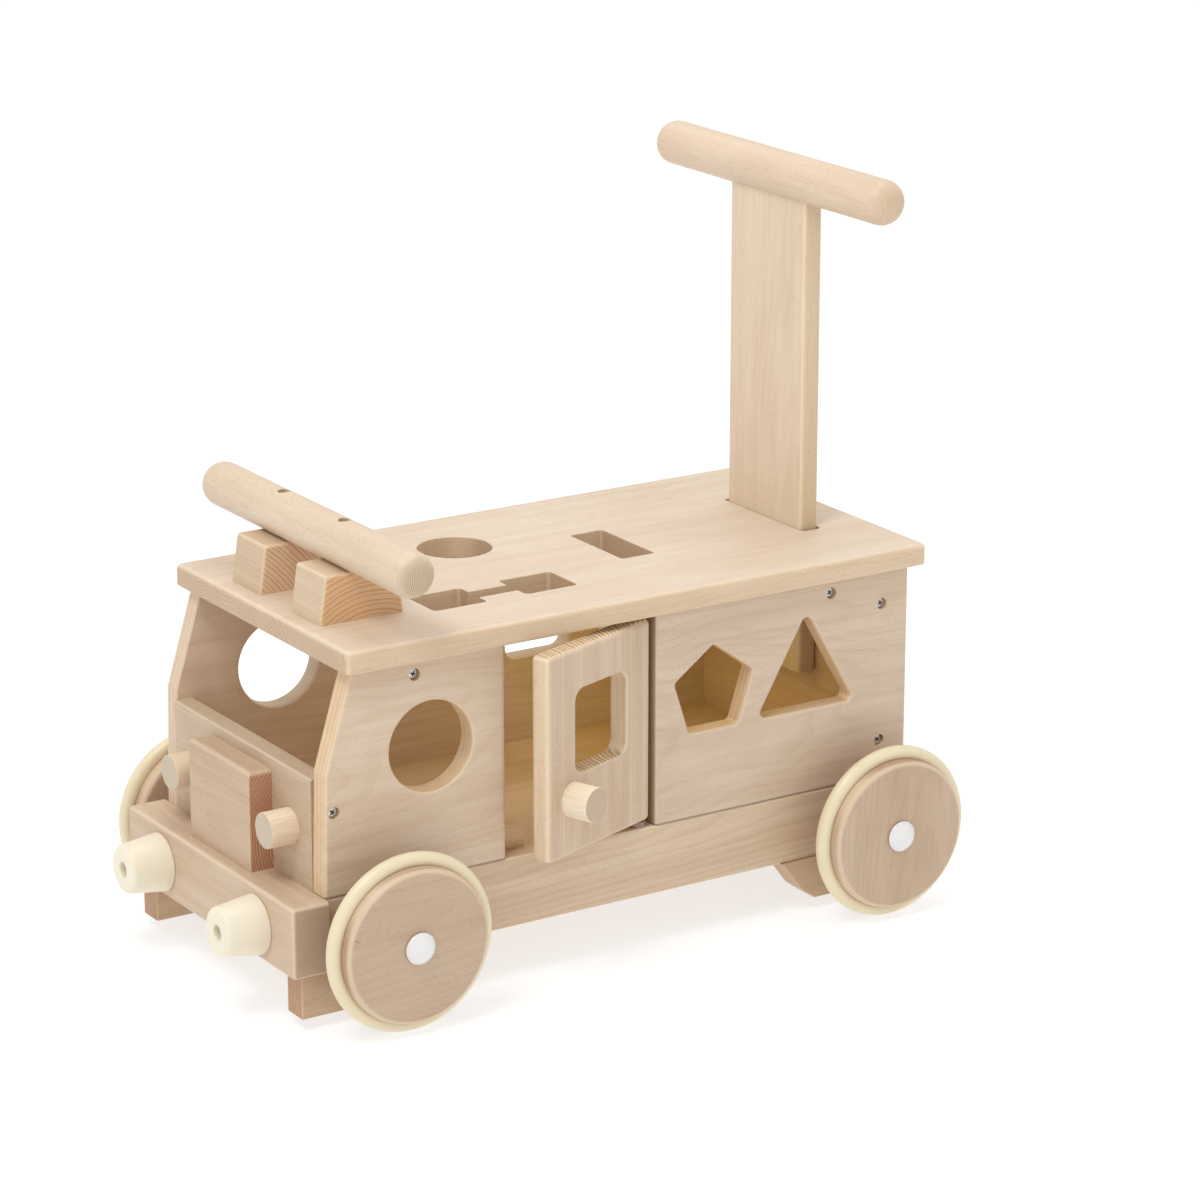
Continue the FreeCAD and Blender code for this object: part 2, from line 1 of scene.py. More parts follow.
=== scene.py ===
"""The looks of a wooden push-and-ride bus: beech boards, cream tyres, white hub caps.

Metres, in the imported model's own frame: +Z up, the grille end towards -Y, the door on +X.
"""
import bpy
import bmesh
import math
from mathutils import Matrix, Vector


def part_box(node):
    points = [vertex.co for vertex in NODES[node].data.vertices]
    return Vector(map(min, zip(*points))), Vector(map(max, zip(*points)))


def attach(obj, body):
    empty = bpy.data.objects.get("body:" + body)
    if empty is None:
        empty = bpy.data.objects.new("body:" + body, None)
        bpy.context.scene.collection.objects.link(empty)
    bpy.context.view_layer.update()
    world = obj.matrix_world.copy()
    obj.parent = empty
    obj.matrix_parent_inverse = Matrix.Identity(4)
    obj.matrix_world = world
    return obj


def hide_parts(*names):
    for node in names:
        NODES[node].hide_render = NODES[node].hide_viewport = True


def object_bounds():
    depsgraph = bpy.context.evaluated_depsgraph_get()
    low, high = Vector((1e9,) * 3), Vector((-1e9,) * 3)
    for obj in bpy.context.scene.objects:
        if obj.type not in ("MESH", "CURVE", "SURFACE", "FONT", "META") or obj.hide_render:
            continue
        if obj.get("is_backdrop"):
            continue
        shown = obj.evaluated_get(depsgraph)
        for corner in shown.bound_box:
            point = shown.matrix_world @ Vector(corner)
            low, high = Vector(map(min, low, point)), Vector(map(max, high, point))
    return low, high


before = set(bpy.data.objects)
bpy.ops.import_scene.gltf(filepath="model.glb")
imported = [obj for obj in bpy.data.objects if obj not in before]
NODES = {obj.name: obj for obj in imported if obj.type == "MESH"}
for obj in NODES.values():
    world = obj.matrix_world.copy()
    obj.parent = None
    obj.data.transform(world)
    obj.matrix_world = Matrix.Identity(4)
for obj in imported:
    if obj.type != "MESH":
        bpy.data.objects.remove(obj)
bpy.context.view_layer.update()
MM = 0.001
X, Y, Z = 0, 1, 2
NORMAL, OBJECT = 1, 3            # the outputs of Texture Coordinate that are read
DOOR_OPEN = math.radians(20.0)


# ------------------------------------------------------------------ writing materials
class Value:
    """A number, vector or colour inside a material, on which sums can be written."""

    def __init__(self, paint, socket):
        self.paint = paint
        self.socket = socket

    def __add__(self, other):
        return self.paint.math("ADD", self, other)

    def __sub__(self, other):
        return self.paint.math("SUBTRACT", self, other)

    def __rsub__(self, other):
        return self.paint.math("SUBTRACT", other, self)

    def __mul__(self, other):
        return self.paint.math("MULTIPLY", self, other)

    def __truediv__(self, other):
        return self.paint.math("DIVIDE", self, other)

    __radd__ = __add__
    __rmul__ = __mul__

    def __abs__(self):
        return self.paint.math("ABSOLUTE", self)


class Paint:
    """A material and the few ways its nodes are added."""

    def __init__(self, name):
        self.material = bpy.data.materials.new(name)
        self.material.use_nodes = True
        self.tree = self.material.node_tree
        self.shader = self.tree.nodes["Principled BSDF"]

    def node(self, kind, settings=None, values=None, out=0):
        """Any node: its type, its settings, then the values or links of its sockets."""
        made = self.tree.nodes.new("ShaderNode" + kind)
        for key, setting in (settings or {}).items():
            setattr(made, key, setting)
        for key, value in (values or {}).items():
            self.feed(made.inputs[key], value)
        return Value(self, made.outputs[out])

    def feed(self, socket, value):
        if isinstance(value, Value):
            self.tree.links.new(value.socket, socket)
        else:
            socket.default_value = value

    def math(self, operation, *values, clamp=False):
        return self.node("Math", {"operation": operation, "use_clamp": clamp},
                         dict(enumerate(values)))

    def step(self, value, low, high):
        """0 below low, 1 above high, smooth between. High may be under low."""
        return self.node("MapRange", {"interpolation_type": "SMOOTHSTEP"},
                         {0: value, 1: low, 2: high, 3: 0.0, 4: 1.0})

    def blend(self, factor, first, second, how="MIX"):
        return self.node("Mix", {"data_type": "RGBA", "blend_type": how},
                         {0: factor, 6: first, 7: second}, out=2)

    def join(self, x, y, z):
        return self.node("CombineXYZ", None, {0: x, 1: y, 2: z})

    def split(self, vector):
        made = self.node("SeparateXYZ", None, {0: vector})
        return [Value(self, socket) for socket in made.socket.node.outputs]

    def noise(self, x, y, z, detail=2.0):
        """Cloudy noise from 0 to 1 at that point, one unit across."""
        return self.node("TexNoise", {"noise_dimensions": "3D"},
                         {"Vector": self.join(x, y, z), "Scale": 1.0, "Detail": detail,
                          "Roughness": 0.5})

    def bump(self, height, distance, strength=1.0):
        normal = self.node("Bump", None,
                           {"Height": height, "Distance": distance, "Strength": strength})
        self.feed(self.shader.inputs["Normal"], normal)

    def set(self, **values):
        names = {"colour": "Base Color", "rough": "Roughness", "metal": "Metallic",
                 "coat": "Coat Weight", "specular": "Specular IOR Level"}
        for key, value in values.items():
            self.feed(self.shader.inputs[names[key]], value)


def shade(red, green, blue):
    """A colour as a paint chart gives it, 0 to 255, turned into linear light."""
    def linear(c):
        c = c / 255
        return c / 12.92 if c < 0.04045 else ((c + 0.055) / 1.055) ** 2.4
    return (linear(red), linear(green), linear(blue), 1.0)


# ------------------------------------------------------------------ the timber
BEECH = {
    "light": shade(221, 200, 176),
    "dark": shade(203, 177, 150),
    "fleck": shade(160, 124, 94),
    "pale": shade(240, 222, 194),
    # painted shadow for the narrow gaps where boards meet
    "joint_shadow": shade(84, 56, 36),
    "crack": shade(70, 48, 32),
}
BROWN_END = (shade(178, 136, 102), shade(206, 170, 137))
PALE_END = (shade(204, 172, 138), shade(238, 218, 188))
PLY_END = (shade(184, 148, 112), shade(226, 200, 166))
KNOB_END = (shade(160, 129, 103), shade(178, 148, 121))
LAMP_END = (shade(174, 158, 138), shade(194, 178, 157))


def year_rings(p, u, v, w, seed, heart, ring, drift, tilt):
    """1 in the dark late wood of each year's ring, wandering a little along the log."""
    sway = p.noise(u / 210 + seed, v / 75, w / 75 + seed) - 0.5
    ripple = p.noise(u / 34, v / 11 + seed, w / 11) - 0.5
    from_v = v - heart[0] + sway * drift
    from_w = w - heart[1] + u * tilt
    reach = p.math("SQRT", from_v * from_v + from_w * from_w) + sway * drift + ripple * 1.1
    good_years = p.noise(reach / 7.0 + seed, 0.0, 0.0, 1.0)
    season = p.math("FRACT", reach / ring + good_years * 1.6)
    return p.step(season, 0.45, 0.93) * (1 - p.step(season, 0.93, 1.0))


def pores(p, u, v, w, seed):
    """Short dark dashes along the grain, dots on the end grain, thicker in patches."""
    dash = p.noise(u / 2.4, v / 0.42 + seed, w / 0.42, 1.0)
    patch = p.noise(u / 45, v / 14 + seed, w / 14)
    return p.step(dash, 0.56, 0.70) * p.step(patch, 0.25, 0.75)


def plywood(p, w, n_u, n_v, n_w, plies, thick):
    """How far each ply shows end grain, the cut edges, and the glue lines on them."""
    layer = (w + thick / 2) * (plies / thick)
    crosswise = p.step(p.math("PINGPONG", layer - 0.5, 1.0), 0.47, 0.53)
    crosswise = p.math("MINIMUM", crosswise, 1 - p.step(n_w, 0.86, 0.96))
    cut_edge = 1 - p.step(n_w, 0.70, 0.95)
    glue_gap = abs(p.math("FRACT", layer) - 0.5)
    return n_u + crosswise * (n_v - n_u), cut_edge, p.step(glue_gap, 0.43, 0.5) * cut_edge


def drying_crack(p, u, v, along, across, angle):
    """1 in one short, thin crack at that place on the board's face."""
    c, s = math.cos(angle), math.sin(angle)
    ahead, beside = u - along, v - across
    run, off = ahead * c + beside * s, beside * c - ahead * s
    return p.step(abs(run), 2.6, 1.4) * p.step(abs(off), 0.30, 0.10)


def timber(name, grain, deep, box, seed=0.0, heart=(12.0, -85.0), ring=2.6, drift=9.0,
           tilt=0.03, plies=0, thick=15.0, turn=0.0, end_show=0.6, ends=BROWN_END,
           tint=None, streak=1.0, lines=1.0, fleck=1.0, wear_and_sheen=0.45, edges=None,
           butt_shadows=(), staves=None, split=None):
    """Beech cut from a log: rings round a heart, flecks along the grain, darker end grain.

    grain and deep are the axes (0, 1, 2) along the grain and through the board, and box
    is the board's own. heart is where the middle of the log lies, across and deep from
    the board's centre, in mm. plies above 0 makes it plywood, with every other ply turned
    across. tint is the whole board's, edges that of its narrow faces, and wear_and_sheen
    is how much paler its sanded corners are, partly from the sanding and partly a painted
    highlight where they catch the light. butt_shadows are the (axis, side) of the dark
    lines of painted shadow in the gaps where it meets the next board. staves is where the
    strips of an edge-glued board meet and how wide they are. split is (along, across,
    angle) of one short drying crack.
    """
    p = Paint(name)
    low, high = box
    spot = p.node("Mapping", {"vector_type": "TEXTURE"},
                  {"Vector": p.node("TexCoord", out=OBJECT), "Location": (low + high) / 2,
                   "Rotation": (0, 0, turn), "Scale": (MM, MM, MM)})
    facing = p.node("Mapping", {"vector_type": "TEXTURE"},
                    {"Vector": p.node("TexCoord", out=NORMAL), "Rotation": (0, 0, turn)})
    across = 3 - grain - deep
    at, side = p.split(spot), p.split(facing)
    u, v, w = at[grain], at[across], at[deep]
    n_u, n_v, n_w = abs(side[grain]), abs(side[across]), abs(side[deep])

    crack = drying_crack(p, u, v, *split) if split else None
    seam = None
    if staves:
        place, width = staves
        strip = (v - place) / width
        number = p.math("FLOOR", strip)
        from_middle = abs(p.math("FRACT", strip) - 0.5) * (2 * width)
        seam = p.step(from_middle, width - 0.9, width - 0.2)
        u = u + number * 371.0
        w = w + number * 23.0

    end, cut_edge, glue = n_u, None, None
    if plies:
        end, cut_edge, glue = plywood(p, w, n_u, n_v, n_w, plies, thick)
    end = p.step(end, 0.45, 0.95)

    late = year_rings(p, u, v, w, seed, heart, ring, drift, tilt)
    dash = pores(p, u, v, w, seed)
    fibre = p.noise(u / 34, v / 0.85, w / 0.85 + seed)
    band = p.noise(u / 260 + seed, v / 8.5, w / 8.5, 3.0)
    cloud = p.noise(u / 120, v / 45, w / 45 + seed)

    face = p.step(band, 0.28, 0.74) * (0.42 * streak) + p.step(cloud, 0.25, 0.75) * 0.40
    face = face + late * (0.24 * lines) + (fibre - 0.5) * 0.8
    face = p.math("ADD", face, 0.0, clamp=True)
    colour = p.blend(face, BEECH["light"], BEECH["dark"])
    colour = p.blend(dash * (0.36 * fleck), colour, BEECH["fleck"])

    end_face = p.step(late, 0.2, 0.9) * 0.75 + (fibre - 0.5) * 0.5
    end_face = p.math("ADD", end_face, 0.0, clamp=True)
    colour = p.blend(end * end_show, colour, p.blend(end_face, *ends))
    if plies:
        colour = p.blend(cut_edge * 0.22, colour, BEECH["pale"])
        colour = p.blend(glue * 0.55, colour, BEECH["fleck"])
    if seam:
        colour = p.blend(seam * 0.22, colour, BEECH["fleck"])
    # paler rounded corners: partly sanded wood, partly a painted highlight where the roundings
    # catch the light
    if wear_and_sheen:
        squarest = p.math("MAXIMUM", p.math("MAXIMUM", n_u, n_v), n_w)
        colour = p.blend(p.step(squarest, 0.985, 0.80) * wear_and_sheen, colour, BEECH["pale"])
    if crack:
        colour = p.blend(crack * 0.75, colour, BEECH["crack"])
    if edges:
        narrow = 1 - p.step(n_w, 0.55, 0.85)
        colour = p.blend(narrow, colour, (*edges, 1.0), "MULTIPLY")
    # painted shadow: a dark line along each listed side, where the gap to the next board lies
    # in shade
    for axis, way in butt_shadows:
        from_butt = abs(at[axis] - way * (high - low)[axis] / (2 * MM))
        colour = p.blend(p.step(from_butt, 1.5, 0.2) * 0.6, colour, BEECH["joint_shadow"])
    if tint:
        colour = p.blend(1.0, colour, (*tint, 1.0), "MULTIPLY")

    grit = p.noise(at[0] / 0.5, at[1] / 0.5, at[2] / 0.5)
    height = grit * 0.25 - face * 0.25 - dash * 0.55 - late * 0.35
    p.bump(height, 0.00006, 0.8)
    p.set(colour=colour, rough=0.41 + fibre * 0.10 + dash * 0.12 + end * 0.15)
    return p.material


def moulded(name, colour, rough, mottle=0.03, coat=0.0, grainy=0.00002):
    """Moulded rubber or plastic with a faint mottle and the skin of its mould."""
    p = Paint(name)
    x, y, z = p.split(p.node("TexCoord", out=OBJECT))
    cloud = p.noise(x / 0.021, y / 0.021, z / 0.021, 3.0)
    skin = p.noise(x / 0.0009, y / 0.0009, z / 0.0009, 2.0)
    darker = tuple(c * (1 - 4 * mottle) for c in colour[:3]) + (1.0,)
    p.set(colour=p.blend(cloud, colour, darker), rough=rough - 0.05 + cloud * 0.10,
          coat=coat)
    p.bump(skin, grainy, 0.7)
    return p.material


def plated(name, bright=(0.86, 0.85, 0.83, 1.0), grey=(0.42, 0.41, 0.40, 1.0)):
    """Zinc-plated steel with fine turning marks, dull and dark down in the drive recess."""
    p = Paint(name)
    # painted shade: the drive recess is painted near black, less metallic and rougher, as the
    # dark it lies in
    recess_shade = p.node("Attribute", {"attribute_name": "recess_shade"}, out=2)
    x, y, z = p.split(p.node("TexCoord", out=OBJECT))
    dull = p.noise(x / 0.0035, y / 0.0035, z / 0.0035, 3.0)
    scratch = p.noise(x / 0.0002, y / 0.0011, z / 0.0002, 2.0)
    p.set(colour=p.blend(p.step(recess_shade, 0.25, 0.9) * 0.93, p.blend(dull, bright, grey),
                         (0.02, 0.02, 0.02, 1.0)),
          metal=1.0 - recess_shade * 0.9, rough=0.20 + dull * 0.22 + recess_shade * 0.4)
    p.bump(scratch, 0.00001, 0.6)
    return p.material


def centre_of(node):
    low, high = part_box(node)
    return (low + high) / 2


def dress(node, material):
    """Give a CAD piece its material."""
    mesh = NODES[node].data
    mesh.materials.clear()
    mesh.materials.append(material)


# tints, and what some pieces have in common
GOLD = (1.0, 0.95, 0.84)
GUARD = (0.81, 0.73, 0.65)
SUPPORT = dict(end_show=0.95, tint=(0.93, 0.91, 0.85))
LAMP = dict(end_show=0.95, ends=LAMP_END, wear_and_sheen=0.0, ring=1.6, tint=(1.22, 1.28, 1.28))
PANEL = dict(plies=7, end_show=0.5, ends=PLY_END, wear_and_sheen=0.25)
# where the door sides get lines of painted shadow: their foot on the beam, their top under the
# roof, and the rear side's end by the door's hinge edge
FOOT, TOP, HINGE_END = (Z, -1), (Z, 1), (Y, -1)

# grain axis, axis through the board, and what differs from plain flat-sawn beech
BOARDS = {
    "chassis_beam_left": (Y, X, dict(seed=1.3, heart=(30, -60), streak=1.5, lines=1.6,
                                     wear_and_sheen=0.8, tint=(0.935, 0.91, 0.86))),
    "chassis_beam_right": (Y, X, dict(seed=7.1, heart=(-22, 70), streak=1.3)),
    "front_bumper": (X, Y, dict(seed=3.7, heart=(-90, 34), end_show=0.75, streak=1.3,
                                ring=1.7, ends=(shade(178, 151, 128), shade(200, 174, 152)),
                                tint=(0.93, 0.91, 0.89))),
    "front_cross_rail": (X, Y, dict(seed=11.0)),
    "rear_cross_rail": (X, Y, dict(seed=12.4)),
    "floor_board": (Y, Z, dict(seed=14.2, plies=5, thick=12.0, tint=GOLD)),
    "door_side_front": (Y, X, dict(seed=5.2, drift=26, heart=(10, -150), **PANEL,
                                   edges=(1.02, 0.96, 0.82), butt_shadows=(FOOT, TOP))),
    "door_side_rear": (Y, X, dict(seed=9.6, drift=30, heart=(-25, -150), **PANEL,
                                  edges=(1.04, 0.98, 0.88), tint=(0.95, 0.95, 0.955),
                                  butt_shadows=(FOOT, TOP, HINGE_END))),
    "closed_side": (Y, X, dict(seed=17.5, drift=30, heart=(15, 150), **PANEL)),
    "front_panel": (X, Y, dict(seed=21.0, heart=(30, 110), tint=(0.83, 0.815, 0.775))),
    "rear_wall": (X, Y, dict(seed=23.8, plies=7, drift=22, tint=(1.10, 1.06, 0.96))),
    "front_batten": (X, Z, dict(seed=25.1, tint=GOLD)),
    "rear_batten": (X, Z, dict(seed=26.6, tint=GOLD)),
    # the roof's tint, lighter and bluer than the other boards, is painted sheen: the bright
    # sky reflected across the top at the camera's grazing view
    "roof_board": (Y, Z, dict(seed=28.9, heart=(-100, -250), end_show=0.6, drift=34,
                              ends=(shade(174, 148, 127), shade(210, 187, 163)),
                              edges=(0.97, 0.91, 0.81), wear_and_sheen=0.3,
                              staves=(-6.0, 121.0), lines=0.7, streak=0.7,
                              tint=(1.03, 1.07, 1.11))),
    "grille_block": (X, Y, dict(seed=31.4, heart=(-14, 62), ring=1.9, drift=3, fleck=1.5,
                                end_show=1.0, ends=(shade(186, 136, 106),
                                                    shade(234, 198, 170)),
                                tint=(0.83, 0.78, 0.73))),
    "handle_support_left": (X, Z, dict(seed=33.3, heart=(7, -60), ring=3.3, drift=7,
                                       ends=(shade(230, 189, 148), shade(190, 146, 110)),
                                       **SUPPORT)),
    "handle_support_right": (X, Z, dict(seed=35.8, heart=(-95, -80), ring=2.8, drift=6,
                                        ends=(shade(232, 200, 170), shade(186, 150, 124)),
                                        **SUPPORT)),
    "push_post": (Z, Y, dict(seed=38.2, heart=(34, -90), drift=14, tilt=0.04, streak=0.6,
                             lines=0.6, tint=(1.05, 1.08, 1.09),
                             edges=(0.93, 0.89, 0.79))),
    "door_panel": (Z, X, dict(seed=41.7, heart=(60, 24), ring=3.4, tilt=0.01, drift=5,
                              turn=DOOR_OPEN, end_show=0.9, streak=1.3, fleck=1.2,
                              ends=(shade(170, 138, 104), shade(236, 219, 194)),
                              edges=(1.22, 1.28, 1.27), wear_and_sheen=0.3, lines=1.1,
                              tint=(0.93, 0.91, 0.885))),
    "door_stop_block": (Y, Z, dict(seed=44.0, end_show=0.8, ends=PALE_END,
                                   tint=(1.05, 0.94, 0.72))),
    "tip_guard_front_left": (Y, X, dict(seed=46.1, tint=GUARD)),
    "tip_guard_front_right": (Y, X, dict(seed=47.9, tint=GUARD)),
    "tip_guard_rear_left": (Y, X, dict(seed=49.4, tint=GUARD)),
    "tip_guard_rear_right": (Y, X, dict(seed=51.2, tint=GUARD)),
    "headlamp_left": (Y, X, dict(seed=53.0, heart=(0, -30), **LAMP)),
    "headlamp_right": (Y, X, dict(seed=54.7, heart=(0, 30), **LAMP)),
    "door_knob": (X, Y, dict(seed=56.3, heart=(8, -34), end_show=0.8, turn=DOOR_OPEN,
                             ends=KNOB_END, wear_and_sheen=0.0, ring=1.8, tint=(1.30, 1.45, 1.54))),
    "front_handle_bar": (X, Y, dict(seed=58.8, heart=(4, -60), end_show=0.8, ring=1.3,
                                    drift=2, ends=(shade(172, 148, 118), shade(232, 214, 184)),
                                    streak=0.7, lines=0.8, wear_and_sheen=0.0, fleck=1.6,
                                    tint=(1.0, 1.02, 1.01))),
    "push_grip": (X, Y, dict(seed=61.5, heart=(-6, -40), end_show=0.5, ring=1.8,
                             ends=PALE_END, streak=0.7, lines=0.8, wear_and_sheen=0.0)),
}
for node, (grain, deep, cut) in BOARDS.items():
    dress(node, timber(node + "_beech", grain, deep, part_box(node), **cut))

WHEEL_TINT = (0.80, 0.75, 0.71)
WHEEL_CUTS = {
    "front_left": (Y, dict(seed=0.6, split=(-44.3, 13.6, -0.5))),
    "front_right": (Z, dict(seed=4.4)),
    "rear_left": (Z, dict(seed=8.3)),
    "rear_right": (Y, dict(seed=13.9)),
}
rubber = moulded("cream_tyre_rubber", shade(235, 222, 188), 0.34)
cream = moulded("cream_buffer_plastic", shade(242, 233, 210), 0.34)
white = moulded("white_cap_plastic", shade(232, 231, 230), 0.22, mottle=0.008, coat=0.4)
nylon = moulded("natural_nylon", shade(150, 118, 108), 0.35)
steel = plated("zinc_plated_steel")


# ------------------------------------------------------------------ turned pieces
def finish_mesh(name, mesh, material, body, node, sharp=38.0):
    """Put a finished mesh in the scene in place of its CAD node."""
    mesh.materials.clear()
    mesh.materials.append(material)
    mesh.shade_smooth()
    mesh.set_sharp_from_angle(angle=math.radians(sharp))
    piece = bpy.data.objects.new(name, mesh)
    bpy.context.scene.collection.objects.link(piece)
    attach(piece, body)
    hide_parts(node)


def arc(centre, radius, start, end, steps):
    """Points round part of a circle, angles in degrees."""
    points = []
    for i in range(steps + 1):
        a = math.radians(start + (end - start) * i / steps)
        points.append((centre[0] + radius * math.cos(a), centre[1] + radius * math.sin(a)))
    return points


def turned(name, profile, centre, axis, segments, closed=False):
    """A lathe-turned mesh. profile is (distance along the axis, radius) in mm."""
    axis = Vector(axis).normalized()
    one = axis.orthogonal().normalized()
    two = axis.cross(one)
    mesh = bpy.data.meshes.new(name)
    work = bmesh.new()
    rings = []
    for along, radius in profile:
        middle = Vector(centre) + axis * (along * MM)
        if radius < 0.001:
            rings.append([work.verts.new(middle)])
            continue
        ring = []
        for i in range(segments):
            a = 2 * math.pi * i / segments
            ring.append(work.verts.new(
                middle + (one * math.cos(a) + two * math.sin(a)) * (radius * MM)))
        rings.append(ring)
    pairs = list(zip(rings, rings[1:]))
    if closed:
        pairs.append((rings[-1], rings[0]))
    for first, second in pairs:
        for i in range(segments):
            j = (i + 1) % segments
            corners = [first[i % len(first)], first[j % len(first)],
                       second[j % len(second)], second[i % len(second)]]
            corners = list(dict.fromkeys(corners))
            if len(corners) > 2:
                work.faces.new(corners)
    bmesh.ops.recalc_face_normals(work, faces=work.faces[:])
    work.to_mesh(mesh)
    work.free()
    return mesh


# wheel, in mm: half the disc's width, its radius, the rounding of its rim, the axle hole,
# half the tyre's thickness and the circle it lies on, and the hub cap's radius, the rise
# of its dome and how far its top stands out from its foot
DISC_HALF = 13.0
DISC_R = 51.0
DISC_ROUND = 4.6
AXLE_HOLE_R = 4.1
CORD_R = 5.0
TYRE_R = 54.0
CAP_R = 10.4
CAP_RISE = 5.0
CAP_TOP = 6.15


def make_wheel(corner, grain, cut):
    """One wheel of the walker: a turned beech disc, a tyre in its groove and a hub cap."""
    disc, tyre, cap = "wheel_disc_" + corner, "tyre_" + corner, "hub_cap_" + corner
    body = "wheel_" + corner
    side = 1 if corner.endswith("left") else -1
    centre = centre_of(tyre)
    axis = (side, 0, 0)

    lip = math.degrees(math.acos((TYRE_R - DISC_R) / CORD_R))
    rim = DISC_R - DISC_ROUND
    outer_edge = arc((DISC_HALF - DISC_ROUND, rim), DISC_ROUND, 0, 90, 10)
    groove = arc((0, TYRE_R), CORD_R, 270 + lip, 270 - lip, 14)
    inner_edge = arc((DISC_ROUND - DISC_HALF, rim), DISC_ROUND, 90, 180, 10)
    flat = (AXLE_HOLE_R, 12.0, 30.0)
    profile = ([(DISC_HALF, r) for r in flat] + outer_edge + groove + inner_edge
               + [(-DISC_HALF, r) for r in reversed(flat)])
    wood = timber(disc + "_beech", grain, X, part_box(tyre), heart=(20, -70), tilt=0.05,
                  end_show=0.4, streak=0.8, fleck=1.5, wear_and_sheen=0.8, tint=WHEEL_TINT, **cut)
    finish_mesh(disc + "_turned", turned(disc, profile, centre, axis, 160, closed=True),
                wood, body, disc)

    seam = [(0.0, TYRE_R + CORD_R), (0.25, TYRE_R + CORD_R - 0.12)]
    cord_line = arc((0, TYRE_R), CORD_R - 0.05, 86, -266, 40)
    finish_mesh(tyre + "_moulded",
                turned(tyre, seam + cord_line, centre, axis, 192, closed=True),
                rubber, body, tyre, sharp=70.0)

    base = DISC_HALF + 0.4
    dome_r = (CAP_R ** 2 + CAP_RISE ** 2) / (2 * CAP_RISE)
    spread = math.degrees(math.asin(CAP_R / dome_r))
    dome = arc((base + CAP_TOP - dome_r, 0.0), dome_r, spread, 0, 14)
    edge = arc((base + 0.75, CAP_R - 0.6), 0.75, 180, 40, 6)
    cap_profile = [(base, 4.0), (base, 8.0)] + edge + dome
    finish_mesh(cap + "_domed", turned(cap, cap_profile, centre, axis, 96), white,
                "chassis", cap)


def make_buffer(node):
    """A cream cone standing on the bumper, hollow at its tip for the screw."""
    low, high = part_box(node)
    centre = Vector(((low.x + high.x) / 2, high.y, (low.z + high.z) / 2))
    length = (high.y - low.y) / MM
    base_r, tip_r, hole_r = 19.7, 16.2, 5.0
    slope = math.degrees(math.atan((base_r - tip_r) / length))
    tip = arc((length - 3.6, tip_r - 3.3), 3.6, 90 - slope, 0, 8)
    mouth = arc((length - 1.2, hole_r + 1.2), 1.2, 0, -90, 6)
    profile = ([(0.0, 4.0), (0.0, 12.0)] + arc((0.8, base_r - 0.85), 0.8, 180, 90 - slope, 4)
               + tip + [(length, 10.0)] + mouth
               + [(length - 6.0, hole_r), (length - 9.0, 4.4), (length - 13.0, 4.2),
                  (length - 13.0, 2.2), (0.0, 2.2)])
    mesh = turned(node, profile, centre, (0, -1, 0), 96, closed=True)
    finish_mesh(node + "_moulded", mesh, cream, "chassis", node)


for corner, (grain, cut) in WHEEL_CUTS.items():
    make_wheel(corner, grain, cut)
make_buffer("buffer_left")
make_buffer("buffer_right")


# ------------------------------------------------------------------ screws
# the head's radius in mm, and as parts of it the crown's rise and the cross recess: how
# far its arms reach, half their width and how deep they go
HEAD_R = 3.5
CROWN = 0.16
ARM_REACH = 0.58
ARM_HALF = 0.17
RECESS = 0.42


def screw_head(radius):
    """A raised cross-head screw, the rim of its head at the origin, its shank down -Z."""
    mesh = bpy.data.meshes.new("screw_head")
    work = bmesh.new()
    # how far each point lies down in the cross recess, which the steel paints as shade
    recess_shade = work.verts.layers.float.new("recess_shade")
    rings, spokes = 14, 64
    grid = []
    for i in range(rings + 1):
        r = radius * i / rings
        ring = []
        for j in range(spokes):
            a = 2 * math.pi * j / spokes
            x, y = r * math.cos(a), r * math.sin(a)
            arm, across = max(abs(x), abs(y)), min(abs(x), abs(y))
            reach = ARM_REACH * radius
            wall = min(max((ARM_HALF * radius - across) / (0.06 * radius), 0.0), 1.0)
            end = min(max((reach - arm) / (0.10 * radius), 0.0), 1.0)
            depth = RECESS * radius * wall * end * (1.15 - arm / reach * 0.55)
            crown = CROWN * radius * (1 - (r / radius) ** 2)
            spot = work.verts.new(Vector((x, y, crown - depth)) * MM)
            spot[recess_shade] = wall * end
            ring.append(spot)
            if i == 0:
                break
        grid.append(ring)
    for drop, r in ((0.22, 1.0), (0.55, 0.62), (2.2, 0.5)):
        ring = []
        for j in range(spokes):
            a = 2 * math.pi * j / spokes
            ring.append(work.verts.new(
                Vector((r * radius * math.cos(a), r * radius * math.sin(a),
                        -drop * radius)) * MM))
        grid.append(ring)
    grid.append([work.verts.new(Vector((0, 0, -2.2 * radius)) * MM)])
    for first, second in zip(grid, grid[1:]):
        for j in range(spokes):
            k = (j + 1) % spokes
            corners = list(dict.fromkeys([
                first[j % len(first)], first[k % len(first)],
                second[k % len(second)], second[j % len(second)]]))
            work.faces.new(corners)
    bmesh.ops.recalc_face_normals(work, faces=work.faces[:])
    work.to_mesh(mesh)
    work.free()
    mesh.shade_smooth()
    mesh.set_sharp_from_angle(angle=math.radians(40))
    return bpy.data.objects.new("screw_head", mesh)


